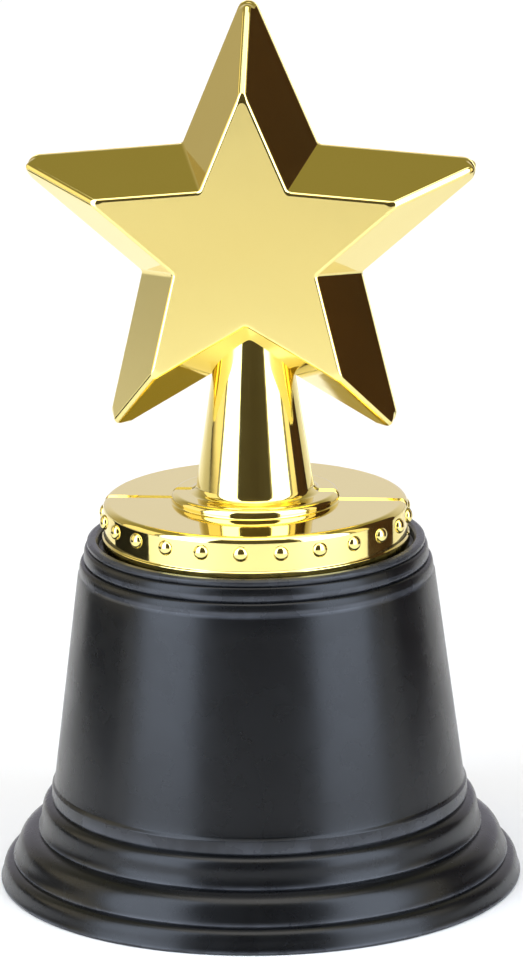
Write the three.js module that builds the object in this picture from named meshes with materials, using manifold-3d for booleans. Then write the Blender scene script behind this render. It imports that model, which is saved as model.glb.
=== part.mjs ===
import * as THREE from 'three';
import { mergeVertices } from 'three/addons/utils/BufferGeometryUtils.js';
import Module from 'manifold-3d';

// Star trophy: a gold two-shell star topper fixed to a black moulded bell base.
// Millimetres, +Z up, the star faces -Y, and the origin is the centre of the foot's underside.

const wasm = await Module();
wasm.setup();

// ---- driving dimensions ----
const HEIGHT = 120.65;            // foot to the top point of the star, 4 3/4 inches
const FOOT_RADIUS = 35.4;         // widest radius of the base
const GAP = 0.3;                  // clearance between separate pieces
const WALL = 1.4;                 // wall of the moulded topper
const BELL_WALL = 1.7;            // wall of the moulded base
const ROUND_STEPS = 48;           // flats round the large turned shapes
const SMALL_STEPS = 24;           // flats round screws, bosses and pins

// star
const STAR_RADIUS = 34.07;        // centre to the sharp corner that each rounded point would have
const STAR_INNER = 0.453;         // notch radius over point radius
const STAR_POINT_ROUND = 1.45;    // rounding of each point
const STAR_DEPTH = 10.1;          // parting plane to the flat face
const STAR_FACE = 0.642;          // flat face over outline
const RIDGE_LAND = 0.45;          // narrow land each side of the parting plane
const POINTS = 5;

// base
const DECK_TOP = 46.2;            // seat of the collar
const DECK_THICK = 2;
const RIM_TOP = 47.6;
const RIM_INNER = 21.3;
const BODY_TOP = { radius: 24.1, height: 42.6 };
const BODY_FOOT = { radius: 27.75, height: 14.2 };
const COVE_LIP = { radius: 28.25, height: 11.75 };
// Steps of the rim from the lowest to the highest, each at its sharp lower edge.
const RIM_LIPS = [
  { radius: 23.9, height: 43.1 },
  { radius: 23.25, height: 45.1 },
  { radius: 22.8, height: 47.1 },
];
const RIM_CREASE = 0.12;          // depth of the crease under each step
// Tiers of the foot from the lowest to the highest: the lip that each flares out to, and its fullness.
const FOOT_TIERS = [
  { radius: FOOT_RADIUS, height: 0.4, flare: 0.3, shoulder: 0.1 },
  { radius: 33.65, height: 3.5, flare: 0.3, shoulder: 0.12 },
  { radius: 30.15, height: 7.45, flare: 0.45, shoulder: 0 },
];
const TIER_STEP = 0.35;           // drop from a lip to the shoulder of the tier under it

// topper
const COLLAR_RADIUS = 20.5;
const COLLAR_BOTTOM = DECK_TOP + GAP;
const COLLAR_TOP = 52.8;
const COLLAR_EDGE = 0.9;          // rounding of the collar's upper edge
const LIP_HEIGHT = 1.7;           // the collar's lowest band stands slightly proud
const LIP_PROUD = 0.2;
const FLANGE_RADIUS = 11.3;
const FLANGE_HEIGHT = 1.2;
const FLANGE_EDGE = 0.8;          // rounding of the flange's upper edge
const STEM_FOOT = 8;
const STEM_TAPER = 0.15;          // loss of radius for each millimetre of height
const STEM_END = 81;              // the stem ends inside the star
const DOMES = 24;
const DOME_RADIUS = 1.05;
const DOME_REACH = 0.65;          // how far a dome stands out of the wall
const DOME_HEIGHT = 50.6;

// fixing
const BOLT_RADIUS = 1.95;
const HOLE_RADIUS = BOLT_RADIUS + GAP;
const NUT_FLATS = 7;
const NUT_HEIGHT = 3.2;
const NUT_BOTTOM = 50.5;
const BOSS_RADIUS = 6.2;
const BOSS_TOP = 59;
const BOLT_END = 57;
const BALLAST_RADIUS = 18.5;
const BALLAST_THICK = 3;
const WASHER_RADIUS = 4.5;
const WASHER_THICK = 0.8;
const HEAD_RADIUS = 4;
const HEAD_HEIGHT = 2.6;
const COVER_RADIUS = 33.1;
const COVER_THICK = 1.2;

// locating pins of the front shell, on the arms of the star
const PIN_RADIUS = 1;
const PIN_REACH = 2.6;
const POST_RADIUS = 2.2;
const PIN_CIRCLE = 11.5;
const PIN_ARMS = [0, 2, 3];

// ---- worked out from the drivers ----
const sector = Math.PI / POINTS;
const pointHalfAngle = Math.atan2(
  STAR_INNER * Math.sin(sector),
  1 - STAR_INNER * Math.cos(sector),
);
const pointCut = STAR_POINT_ROUND * (1 / Math.sin(pointHalfAngle) - 1);
const STAR_Z = HEIGHT - STAR_RADIUS + pointCut;
const starEdge = STAR_RADIUS * Math.sin(pointHalfAngle);      // centre to each straight edge
const bevelAngle = Math.atan2(starEdge * (1 - STAR_FACE), STAR_DEPTH - RIDGE_LAND);
const insetAcross = WALL / Math.cos(bevelAngle);              // the wall, measured in the star's plane
const deckBottom = DECK_TOP - DECK_THICK;
const ballastTop = deckBottom - GAP;
const washerTop = ballastTop - BALLAST_THICK - GAP;
const headTop = washerTop - WASHER_THICK - GAP;

// ---- solids ----
function toSolid(geometry) {
  const bare = geometry.index ? geometry.toNonIndexed() : geometry.clone();
  bare.deleteAttribute('normal');
  bare.deleteAttribute('uv');
  const welded = mergeVertices(bare, 1e-4);
  const mesh = new wasm.Mesh({
    numProp: 3,
    vertProperties: new Float32Array(welded.attributes.position.array),
    triVerts: new Uint32Array(welded.index.array),
  });
  return new wasm.Manifold(mesh);
}

function toGeometry(solid) {
  const mesh = solid.getMesh();
  const geometry = new THREE.BufferGeometry();
  geometry.setAttribute('position', new THREE.BufferAttribute(new Float32Array(mesh.vertProperties), 3));
  geometry.setIndex(new THREE.BufferAttribute(new Uint32Array(mesh.triVerts), 1));
  geometry.computeVertexNormals();
  return geometry;
}

// A shape turned about the Z axis from [radius, height] pairs that go upwards along the outside.
function turned(profile, steps = ROUND_STEPS) {
  const points = profile.map(([radius, height]) => new THREE.Vector2(radius, height));
  const geometry = new THREE.LatheGeometry(points, steps);
  geometry.rotateX(Math.PI / 2);
  return geometry;
}

function cylinder(radius, bottom, top, steps = SMALL_STEPS) {
  return turned([[0, bottom], [radius, bottom], [radius, top], [0, top]], steps);
}

// A cylinder along the Y axis, on the star at polar (distance, angle).
function crossPin(radius, from, to, distance, angle) {
  const geometry = new THREE.CylinderGeometry(radius, radius, to - from, SMALL_STEPS);
  geometry.translate(distance * Math.cos(angle), (from + to) / 2, STAR_Z + distance * Math.sin(angle));
  return geometry;
}

// Outline of the star about its own centre, as [x, z] pairs, with each point rounded by an arc.
function starOutline(round, arcSteps) {
  const outline = [];
  for (let i = 0; i < POINTS; i += 1) {
    const axis = Math.PI / 2 + 2 * sector * i;
    const arcCentre = STAR_RADIUS - round / Math.sin(pointHalfAngle);
    const sweep = Math.PI / 2 - pointHalfAngle;
    for (let k = 0; k <= arcSteps; k += 1) {
      const turn = axis + sweep * (2 * k / arcSteps - 1);
      outline.push([
        arcCentre * Math.cos(axis) + round * Math.cos(turn),
        arcCentre * Math.sin(axis) + round * Math.sin(turn),
      ]);
    }
    const notch = axis + sector;
    outline.push([
      STAR_RADIUS * STAR_INNER * Math.cos(notch),
      STAR_RADIUS * STAR_INNER * Math.sin(notch),
    ]);
  }
  return outline;
}

// The outline stacked along Y at several [y, scale] levels, from the front level to the back one.
function starStack(outline, levels) {
  const positions = [];
  const triangles = [];
  const count = outline.length;
  for (const [y, scale] of levels) {
    for (const [x, z] of outline) {
      positions.push(x * scale, y, STAR_Z + z * scale);
    }
  }
  for (let level = 0; level < levels.length - 1; level += 1) {
    for (let i = 0; i < count; i += 1) {
      const a = level * count + i;
      const b = level * count + (i + 1) % count;
      triangles.push(a, a + count, b, b, a + count, b + count);
    }
  }
  const front = positions.length / 3;
  positions.push(0, levels[0][0], STAR_Z);
  const back = front + 1;
  positions.push(0, levels[levels.length - 1][0], STAR_Z);
  const last = (levels.length - 1) * count;
  for (let i = 0; i < count; i += 1) {
    const next = (i + 1) % count;
    triangles.push(front, i, next, back, last + next, last + i);
  }
  const geometry = new THREE.BufferGeometry();
  geometry.setAttribute('position', new THREE.Float32BufferAttribute(positions, 3));
  geometry.setIndex(triangles);
  return geometry;
}

// ---- the gold topper ----
function starBody() {
  return starStack(starOutline(STAR_POINT_ROUND, 6), [
    [-STAR_DEPTH, STAR_FACE],
    [-RIDGE_LAND, 1],
    [RIDGE_LAND, 1],
    [STAR_DEPTH, STAR_FACE],
  ]);
}

function starHollow() {
  const middle = 1 - insetAcross / starEdge;
  const depth = STAR_DEPTH - WALL;
  const wallThere = starEdge * (1 - (1 - STAR_FACE) * (depth - RIDGE_LAND) / (STAR_DEPTH - RIDGE_LAND));
  const face = (wallThere - insetAcross) / starEdge;
  return starStack(starOutline(STAR_POINT_ROUND, 3), [
    [-depth, face],
    [-RIDGE_LAND, middle],
    [RIDGE_LAND, middle],
    [depth, face],
  ]);
}

function stemRadius(height) {
  return STEM_FOOT - STEM_TAPER * (height - COLLAR_TOP - FLANGE_HEIGHT);
}

function stemBody() {
  const foot = COLLAR_TOP + FLANGE_HEIGHT;
  const low = COLLAR_TOP - 0.5;
  return turned([[0, low], [stemRadius(foot), low], [stemRadius(foot), foot],
    [stemRadius(STEM_END), STEM_END], [0, STEM_END]], 48);
}

function stemHollow() {
  const high = STAR_Z;
  return turned([[0, BOSS_TOP], [stemRadius(BOSS_TOP) - WALL, BOSS_TOP],
    [stemRadius(STEM_END) - WALL, STEM_END], [stemRadius(STEM_END) - WALL, high], [0, high]], 48);
}

function flangeBody() {
  const low = COLLAR_TOP - 0.5;
  const high = COLLAR_TOP + FLANGE_HEIGHT;
  const mid = FLANGE_EDGE * (1 - Math.SQRT1_2);
  return turned([[0, low], [FLANGE_RADIUS, low], [FLANGE_RADIUS, high - FLANGE_EDGE],
    [FLANGE_RADIUS - mid, high - mid], [FLANGE_RADIUS - FLANGE_EDGE, high], [0, high]]);
}

function collarBody() {
  const proud = COLLAR_RADIUS + LIP_PROUD;
  const lipTop = COLLAR_BOTTOM + LIP_HEIGHT;
  const shoulder = COLLAR_RADIUS - COLLAR_EDGE;
  const mid = COLLAR_EDGE * (1 - Math.SQRT1_2);
  return turned([[0, COLLAR_BOTTOM], [proud, COLLAR_BOTTOM], [proud, lipTop - LIP_PROUD],
    [COLLAR_RADIUS, lipTop], [COLLAR_RADIUS, COLLAR_TOP - COLLAR_EDGE],
    [COLLAR_RADIUS - mid, COLLAR_TOP - mid], [shoulder, COLLAR_TOP], [0, COLLAR_TOP]]);
}

// The hollow of the drum runs round the central boss.
function collarHollow() {
  const low = COLLAR_BOTTOM - 1;
  const high = COLLAR_TOP - WALL;
  const outer = COLLAR_RADIUS - WALL;
  return turned([[BOSS_RADIUS, low], [outer, low], [outer, high], [BOSS_RADIUS, high], [BOSS_RADIUS, low]]);
}

function dome(index) {
  const geometry = new THREE.SphereGeometry(DOME_RADIUS, 8, 4);
  geometry.rotateX(Math.PI / 2);
  geometry.scale(DOME_REACH / DOME_RADIUS, 1, 1);
  const turn = index * 2 * Math.PI / DOMES;
  geometry.rotateZ(turn);
  geometry.translate(COLLAR_RADIUS * Math.cos(turn), COLLAR_RADIUS * Math.sin(turn), DOME_HEIGHT);
  return geometry;
}

function hexPrism(acrossFlats, bottom, top) {
  return cylinder(acrossFlats / Math.sqrt(3), bottom, top, 6);
}

// The whole topper before it is parted: outside, hollows, boss, nut pocket and screw hole.
function topperSolid() {
  let solid = toSolid(starBody())
    .add(toSolid(stemBody()))
    .add(toSolid(flangeBody()))
    .add(toSolid(collarBody()));
  for (let i = 0; i < DOMES; i += 1) {
    solid = solid.add(toSolid(dome(i)));
  }
  solid = solid.subtract(toSolid(starHollow()))
    .subtract(toSolid(stemHollow()))
    .subtract(toSolid(collarHollow()))
    .subtract(toSolid(cylinder(HOLE_RADIUS, COLLAR_BOTTOM - 1, BOLT_END + GAP)))
    .subtract(toSolid(hexPrism(NUT_FLATS + 2 * GAP, NUT_BOTTOM - GAP, NUT_BOTTOM + NUT_HEIGHT + GAP)));
  return solid;
}

function halfSpace(from, to) {
  const geometry = new THREE.BoxGeometry(4 * STAR_RADIUS, to - from, 2 * HEIGHT);
  geometry.translate(0, (from + to) / 2, HEIGHT / 2);
  return toSolid(geometry);
}

function pinAngle(arm) {
  return Math.PI / 2 + 2 * sector * arm;
}

function starFrontShell() {
  const inside = -(STAR_DEPTH - WALL / 2);
  let solid = topperSolid().intersect(halfSpace(-2 * STAR_DEPTH - STAR_RADIUS, -GAP / 2));
  for (const arm of PIN_ARMS) {
    const angle = pinAngle(arm);
    solid = solid.add(toSolid(crossPin(POST_RADIUS, inside, -GAP / 2, PIN_CIRCLE, angle)));
    solid = solid.add(toSolid(crossPin(PIN_RADIUS, inside, PIN_REACH, PIN_CIRCLE, angle)));
  }
  return toGeometry(solid);
}

function starBackShell() {
  const inside = STAR_DEPTH - WALL / 2;
  let solid = topperSolid().intersect(halfSpace(GAP / 2, 2 * STAR_DEPTH + STAR_RADIUS));
  for (const arm of PIN_ARMS) {
    const angle = pinAngle(arm);
    const socket = PIN_REACH + GAP;
    solid = solid.add(toSolid(crossPin(POST_RADIUS, GAP / 2, inside, PIN_CIRCLE, angle)));
    solid = solid.subtract(toSolid(crossPin(PIN_RADIUS + GAP, -1, socket, PIN_CIRCLE, angle)));
  }
  return toGeometry(solid);
}

// ---- the black base ----
// One tier of the foot, from its lip up a steep wall and over a rounded shoulder to the crease above.
function tierOutline(tier, above) {
  const width = tier.radius - above.radius + 0.05;
  const height = above.height - TIER_STEP - tier.height;
  const at = (inwards, upwards) => new THREE.Vector2(
    tier.radius - inwards * width,
    tier.height + upwards * height,
  );
  const side = new THREE.CubicBezierCurve(
    at(0, 0),
    at(tier.flare, 0.4),
    at(tier.shoulder, 0.94),
    at(1, 1),
  );
  return side.getPoints(4).map((point) => [point.x, point.y]);
}

// One step of the rim, from its sharp lower edge up to the crease under the next step.
function rimStep(lip, above) {
  const crease = above.height - 0.45;
  return [
    [lip.radius, lip.height],
    [(lip.radius + above.radius) / 2 - RIM_CREASE / 2, (lip.height + crease) / 2 + 0.2],
    [above.radius - RIM_CREASE, crease],
  ];
}

// Outside of the bell from the foot to the rim.
function bellOutside() {
  const outline = [[FOOT_RADIUS - 0.15, 0]];
  FOOT_TIERS.forEach((tier, i) => {
    outline.push(...tierOutline(tier, FOOT_TIERS[i + 1] ?? COVE_LIP));
  });
  outline.push([COVE_LIP.radius, COVE_LIP.height]);
  outline.push([BODY_FOOT.radius + 0.3, BODY_FOOT.height - 0.8]);
  outline.push([BODY_FOOT.radius, BODY_FOOT.height]);
  outline.push([BODY_TOP.radius, BODY_TOP.height]);
  outline.push(...rimStep(RIM_LIPS[0], RIM_LIPS[1]));
  outline.push(...rimStep(RIM_LIPS[1], RIM_LIPS[2]));
  outline.push([RIM_LIPS[2].radius, RIM_LIPS[2].height]);
  outline.push([RIM_LIPS[2].radius - 0.5, RIM_TOP]);
  outline.push([RIM_INNER + 0.4, RIM_TOP]);
  return outline;
}

// Inside of the bell from the seat down through the deck's hole to the foot's rebate.
function bellInside() {
  const rebate = COVER_RADIUS + GAP;
  const ledge = COVER_THICK + GAP;
  return [
    [RIM_INNER, RIM_TOP - 0.4],
    [RIM_INNER, DECK_TOP],
    [HOLE_RADIUS, DECK_TOP],
    [HOLE_RADIUS, deckBottom],
    [BODY_TOP.radius - BELL_WALL, deckBottom],
    [BODY_FOOT.radius - BELL_WALL, BODY_FOOT.height],
    [COVE_LIP.radius - BELL_WALL, COVE_LIP.height - 1],
    [FOOT_TIERS[2].radius - BELL_WALL, FOOT_TIERS[2].height - 1],
    [FOOT_TIERS[1].radius - BELL_WALL, ledge],
    [rebate, ledge],
    [rebate, 0],
    [FOOT_RADIUS - 0.15, 0],
  ];
}

function baseBell() {
  return turned([...bellOutside(), ...bellInside()]);
}

// ---- fixing, ballast and cover ----
function captiveNut() {
  const nut = toSolid(hexPrism(NUT_FLATS, NUT_BOTTOM, NUT_BOTTOM + NUT_HEIGHT));
  return toGeometry(nut.subtract(toSolid(cylinder(HOLE_RADIUS, NUT_BOTTOM - 1, NUT_BOTTOM + NUT_HEIGHT + 1))));
}

// A ring of the given inner and outer radius.
function ring(inner, outer, bottom, top, steps) {
  return turned([[inner, bottom], [outer, bottom], [outer, top], [inner, top], [inner, bottom]], steps);
}

// Pan head screw, head down, with a cross recess.
function fixingBolt() {
  const bottom = headTop - HEAD_HEIGHT;
  const body = toSolid(turned([[0, bottom], [0.7 * HEAD_RADIUS, bottom], [HEAD_RADIUS, bottom + 0.9],
    [HEAD_RADIUS, headTop], [BOLT_RADIUS, headTop], [BOLT_RADIUS, BOLT_END - 0.6],
    [BOLT_RADIUS - 0.6, BOLT_END], [0, BOLT_END]], SMALL_STEPS));
  const slot = new THREE.BoxGeometry(4.4, 0.9, 2.6);
  slot.translate(0, 0, bottom);
  const cross = slot.clone().rotateZ(Math.PI / 2);
  return toGeometry(body.subtract(toSolid(slot)).subtract(toSolid(cross)));
}

function flatWasher() {
  return ring(HOLE_RADIUS, WASHER_RADIUS, washerTop - WASHER_THICK, washerTop, SMALL_STEPS);
}

function ballastDisc() {
  return ring(HOLE_RADIUS, BALLAST_RADIUS, ballastTop - BALLAST_THICK, ballastTop, 48);
}

// Disc that closes the foot, with a shallow stiffening ring moulded on its inner side.
function bottomCover() {
  return turned([[0, 0], [COVER_RADIUS, 0], [COVER_RADIUS, COVER_THICK], [24, COVER_THICK],
    [23.4, COVER_THICK + 1.5], [22.6, COVER_THICK + 1.5], [22, COVER_THICK], [0, COVER_THICK]]);
}

// ---- assembly ----
const gold = { color: 0xe8c65a, roughness: 0.12, metalness: 1 };
const blackPlastic = { color: 0x1c1d1f, roughness: 0.45, metalness: 0 };
const steel = { color: 0xb4b6b8, roughness: 0.35, metalness: 1 };

const group = new THREE.Group();

function addPiece(name, geometry, look) {
  const mesh = new THREE.Mesh(geometry, new THREE.MeshStandardMaterial(look));
  mesh.name = name;
  group.add(mesh);
}

addPiece('star_front_shell', starFrontShell(), gold);
addPiece('star_back_shell', starBackShell(), gold);
addPiece('captive_nut', captiveNut(), steel);
addPiece('base_bell', baseBell(), blackPlastic);
addPiece('fixing_bolt', fixingBolt(), steel);
addPiece('flat_washer', flatWasher(), steel);
addPiece('ballast_disc', ballastDisc(), steel);
addPiece('bottom_cover', bottomCover(), blackPlastic);

export default group;
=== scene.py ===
import math

import bmesh
import bpy
from bpy.props import FloatProperty, FloatVectorProperty, IntProperty, PointerProperty
from mathutils import Matrix, Vector


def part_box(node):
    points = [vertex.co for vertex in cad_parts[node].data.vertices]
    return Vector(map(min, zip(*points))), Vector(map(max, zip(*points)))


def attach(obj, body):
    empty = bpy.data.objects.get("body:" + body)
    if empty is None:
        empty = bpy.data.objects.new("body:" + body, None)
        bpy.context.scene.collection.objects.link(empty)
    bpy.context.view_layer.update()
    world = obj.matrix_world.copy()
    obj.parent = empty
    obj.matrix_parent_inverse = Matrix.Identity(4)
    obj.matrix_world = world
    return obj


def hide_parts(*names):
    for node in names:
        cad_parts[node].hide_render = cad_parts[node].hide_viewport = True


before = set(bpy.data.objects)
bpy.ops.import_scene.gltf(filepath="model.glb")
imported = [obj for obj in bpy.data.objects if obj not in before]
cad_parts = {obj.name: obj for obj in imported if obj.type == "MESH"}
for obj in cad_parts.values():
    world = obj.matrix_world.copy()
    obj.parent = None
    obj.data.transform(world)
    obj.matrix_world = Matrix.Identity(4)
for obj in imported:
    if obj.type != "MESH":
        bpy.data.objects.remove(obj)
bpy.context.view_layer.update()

# Star trophy: a metallised gold star topper in two moulded halves, screwed to a satin black bell base.
# Shapes are worked out in millimetres about the trophy's axis and turned to metres when a piece is finished.

bl_info = {
    "name": "Star trophy",
    "version": (1, 0, 0),
    "blender": (4, 5, 0),
    "location": "View3D > Sidebar > Trophy",
    "description": "Builds the visual pieces of a small star trophy round its packed frame",
    "category": "Object",
}

MM = 0.001
TOPPER_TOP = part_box("star_front_shell")[1].z
TOPPER_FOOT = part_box("star_front_shell")[0].z
FOOT_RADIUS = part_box("base_bell")[1].x
RIM_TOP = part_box("base_bell")[1].z
GAP = 0.3                    # clearance between separate pieces
PARTING = GAP / 2            # each topper half stops this far from the middle plane
WALL = 1.4                   # moulded wall of the topper
ARMS = 5
SECTOR = math.pi / ARMS
HEADROOM = 0.001             # keeps the top point's last rounding step inside the CAD box
HOLE = 2.25                  # radius of the clearance hole for the screw
STEM_END = 81                # height inside the star where the stem ends
FOOT_EASE = 0.22             # easing of the foot's lowest edge
COVE = (28.25, 11.75)        # radius and height where the steps of the foot end
# Lip radius, lip height, and fullness at the flare and at the shoulder, for each step over the lowest.
UPPER_TIERS = ((33.65, 3.5, 0.3, 0.12), (30.15, 7.45, 0.45, 0))
BAND_TOP, SIDE_TOP = 14.9, 42.6                        # heights between which the bell's side is straight
RIM_LIPS = ((23.9, 43.1), (23.25, 45.1), (22.8, 47.1))    # radius and height of each lip under the rim
LEVEL = [(0, 0, 1), (0, 0, -1)]


# ---------------------------------------------------------------- properties

def length(name, text, value):
    """A length given in millimetres."""
    return FloatProperty(name=name, description=text, default=value * MM, unit="LENGTH", precision=5)


def number(name, text, value):
    return FloatProperty(name=name, description=text, default=value)


def share(name, text, default):
    return FloatProperty(name=name, description=text, default=default, min=0, max=1, subtype="FACTOR")


def linear(code):
    """Linear RGB of an sRGB hex colour such as e8c65a."""
    def channel(value):
        return value / 12.92 if value <= 0.04045 else ((value + 0.055) / 1.055) ** 2.4
    return tuple(channel(int(code[i:i + 2], 16) / 255) for i in (0, 2, 4))


def colour(name, text, code):
    return FloatVectorProperty(name=name, description=text, default=linear(code), subtype="COLOR",
                               size=3, min=0, max=1)


def light(name, text, value):
    return FloatVectorProperty(name=name, description=text, default=value, subtype="COLOR", size=3, min=0)


class TopperSizes(bpy.types.PropertyGroup):
    star_radius: length("Star radius", "Centre of the star to the sharp corner of a point", 34.07)
    notch_share: share("Notch", "Notch radius over point radius", 0.453)
    face_share: share("Face", "Flat face over the star's outline", 0.642)
    star_depth: length("Star depth", "Parting plane to the flat face", 10.1)
    land: length("Ridge land", "Narrow land beside the parting plane", 0.45)
    point_round: length("Point rounding", "Rounding of each point's end", 1.45)
    lower_stout: number("Lower points", "Rounding of the other points over the top one's", 1.2)
    tip_length: length("Tip length", "Depth over which a ridge widens into its point", 1.6)
    ridge_round: length("Ridge rounding", "Rounding along the ridge of each arm", 0.75)
    face_round: length("Face rounding", "Rounding between the face and the bevels", 0.6)
    notch_round: length("Notch rounding", "Fillet in the notches between the arms", 0.8)
    parting_round: length("Parting edge", "Easing of each half's edge at the parting plane", 0.1)
    seam_round: length("Collar seam edge", "Easing of the parting edges on the collar and flange", 0.7)
    stem_foot: length("Stem foot radius", "Radius of the stem at the flange", 8)
    stem_taper: number("Stem taper", "Loss of radius over height", 0.15)
    flange_radius: length("Flange radius", "Radius of the flange round the stem's foot", 11.3)
    flange_round: length("Flange rounding", "Rounding of the flange's upper edge", 0.8)
    flange_height: length("Flange height", "Height of the flange over the collar", 1.2)
    collar_radius: length("Collar radius", "Radius of the collar's wall", 20.5)
    collar_top: length("Collar top", "Height of the collar's flat top", 52.8)
    dome_radius: length("Dome radius", "Radius of each small dome on the collar", 1.05)
    dome_share: share("Dome fullness", "How far a dome stands out, over its radius", 0.62)
    dome_height: length("Dome height", "Height of the ring of domes", 50.6)
    domes: IntProperty(name="Domes", description="Domes round the collar", default=24, min=3, max=96)


class BaseSizes(bpy.types.PropertyGroup):
    wall: length("Bell wall", "Moulded wall of the bell", 1.7)
    deck_top: length("Deck top", "Height of the seat that carries the topper", 46.2)
    deck_thick: length("Deck thickness", "Thickness of the seat", 2)
    rim_inner: length("Rim inner radius", "Radius of the recess that holds the collar", 21.3)
    body_top: length("Body top radius", "Radius of the bell just under the rim", 24.1)
    body_foot: length("Body foot radius", "Radius of the bell just above the foot", 27.75)
    cover_radius: length("Cover radius", "Radius of the closing cover", 33.1)


class Finishes(bpy.types.PropertyGroup):
    gold: colour("Gold", "Bright side of the metallised gold", "f9e795")
    gold_deep: colour("Deep gold", "Slightly thicker, warmer film", "f7e38e")
    black: colour("Black", "Satin black of the base", "0b0c0e")
    # Paler black for wear on the bell's edges and a painted highlight on its lips; the cover's grain uses it as
    # its own tone.
    black_wear_and_highlight: colour("Pale black, wear and painted highlight", "Paler black for wear and for the painted highlight on the bell's lips", "46484d")
    zinc: colour("Zinc", "Bright zinc plate", "c9cccd")
    steel: colour("Steel", "Plain punched steel", "a3a4a5")
    floor: colour("Floor", "Pale studio floor", "f4f3f1")


class StudioSettings(bpy.types.PropertyGroup):
    panel_strength: number("Side panels", "Radiance of the two side panels", 4.4)
    top_strength: number("Top panel", "Radiance of the overhead panel", 2.5)
    flank_strength: number("Flanks", "Radiance of the flank cards", 1.25)
    haze_strength: number("Ceiling wash", "Radiance over the whole floor", 0.52)
    wash_strength: number("Floor wash", "Radiance of the floor's washes", 2.5)
    ceiling: light("Ceiling", "Light from the dim ceiling", (0.29, 0.26, 0.11))
    side_wall: light("Side walls", "Light from low down at the sides", (0.42, 0.37, 0.24))
    back_wall: light("Back wall", "Light from low down at the back", (0.78, 0.76, 0.86))
    focal_length: FloatProperty(name="Focal length", description="Long lens of the studio camera",
                                default=239.4 * MM, unit="CAMERA")


# ---------------------------------------------------------------- mesh helpers

def linked(name, data):
    """A new object in the scene."""
    made = bpy.data.objects.new(name, data)
    bpy.context.scene.collection.objects.link(made)
    return made


def new_object(name, vertices, faces):
    """A closed mesh object in millimetres with its faces turned outwards."""
    work = bmesh.new()
    points = [work.verts.new(v) for v in vertices]
    for face in faces:
        work.faces.new([points[i] for i in face])
    bmesh.ops.remove_doubles(work, verts=work.verts, dist=1e-5)
    bmesh.ops.recalc_face_normals(work, faces=work.faces)
    mesh = bpy.data.meshes.new(name)
    work.to_mesh(mesh)
    work.free()
    return linked(name, mesh)


def level_ring(radius, height, steps):
    """Points round the axis at one height."""
    turns = [2 * math.pi * k / steps for k in range(steps)]
    return [(radius * math.cos(turn), radius * math.sin(turn), height) for turn in turns]


def loft(name, rings):
    """Skins equal rings of points one after another, with a cap at both ends."""
    count = len(rings[0])
    vertices = [point for ring in rings for point in ring]
    last = len(vertices) - count
    faces = []
    for low in range(0, last, count):
        for i in range(count):
            j = (i + 1) % count
            faces.append((low + i, low + j, low + count + j, low + count + i))
    faces.append(tuple(range(count)))
    faces.append(tuple(range(last, last + count)))
    return new_object(name, vertices, faces)


def eased(corners, step=math.radians(12)):
    """A line of (a, b, rounding) corners as (a, b) points, each corner turned into an arc of its rounding."""
    line = []
    for i, (a, b, rounding) in enumerate(corners):
        here = Vector((a, b))
        if rounding <= 0 or i in (0, len(corners) - 1):
            line.append((a, b))
            continue
        back = (Vector(corners[i - 1][:2]) - here).normalized()
        ahead = (Vector(corners[i + 1][:2]) - here).normalized()
        opening = back.angle(ahead)
        reach = rounding / math.tan(opening / 2)
        start, end = here + back * reach, here + ahead * reach
        centre = here + (back + ahead).normalized() * rounding / math.sin(opening / 2)
        turn = math.pi - opening
        steps = max(2, math.ceil(turn / step))
        first, last = start - centre, end - centre
        for k in range(steps + 1):
            part = k / steps
            arm = (first * math.sin((1 - part) * turn) + last * math.sin(part * turn)) / math.sin(turn)
            line.append(tuple(centre + arm))
    return line


def turned(name, outline, steps):
    """A solid turned about the axis from (radius, height) points, closed where the radius is 0."""
    count = len(outline)
    on_axis = [abs(r) < 1e-9 for r, _ in outline]
    vertices, index = [], {}
    for s in range(steps):
        angle = 2 * math.pi * s / steps
        for i, (r, z) in enumerate(outline):
            key = (0 if on_axis[i] else s, i)
            if key not in index:
                index[key] = len(vertices)
                vertices.append((r * math.cos(angle), r * math.sin(angle), z))
    faces = []
    for s in range(steps):
        t = (s + 1) % steps
        for i in range(count):
            j = (i + 1) % count
            if on_axis[i] and on_axis[j]:
                continue
            corner = []
            for key in ((s, i), (s, j), (t, j), (t, i)):
                at = index[(0 if on_axis[key[1]] else key[0], key[1])]
                if at not in corner:
                    corner.append(at)
            faces.append(corner)
    return new_object(name, vertices, faces)


def combine(base, others, operation):
    """Adds or cuts other solids, which are used up."""
    for other in others:
        modifier = base.modifiers.new(operation, "BOOLEAN")
        modifier.operation = operation
        modifier.solver = "MANIFOLD"
        modifier.object = other
    bpy.context.view_layer.update()
    evaluated = base.evaluated_get(bpy.context.evaluated_depsgraph_get())
    mesh = bpy.data.meshes.new_from_object(evaluated)
    base.modifiers.clear()
    old, base.data = base.data, mesh
    bpy.data.meshes.remove(old)
    for other in others:
        bpy.data.meshes.remove(other.data)
    if not mesh.polygons:
        raise RuntimeError(f"{base.name}: the solids could not be combined")
    return base


def shade(mesh, flats, soft=math.radians(38)):
    """Smooth corner normals that stay true on flat faces. flats are the directions of the flat faces."""
    mesh.shade_smooth()
    directions = [Vector(f).normalized() for f in flats]
    true = math.cos(math.radians(0.25))
    limit = math.cos(soft)
    normals = [p.normal.copy() for p in mesh.polygons]
    areas = [p.area for p in mesh.polygons]
    is_flat = [any(n.dot(d) > true for d in directions) for n in normals]
    around = [[] for _ in mesh.vertices]
    for polygon in mesh.polygons:
        for v in polygon.vertices:
            around[v].append(polygon.index)
    corners = []
    for polygon in mesh.polygons:
        own = normals[polygon.index]
        for v in polygon.vertices:
            if is_flat[polygon.index]:
                corners.append(own)
                continue
            near = [i for i in around[v] if normals[i].dot(own) > limit]
            level = [i for i in near if is_flat[i]]
            total = Vector((0, 0, 0))
            for i in level or near:
                total += normals[i] * (areas[i] + 1e-9)
            corners.append(total.normalized())
    mesh.normals_split_custom_set(corners)


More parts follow.
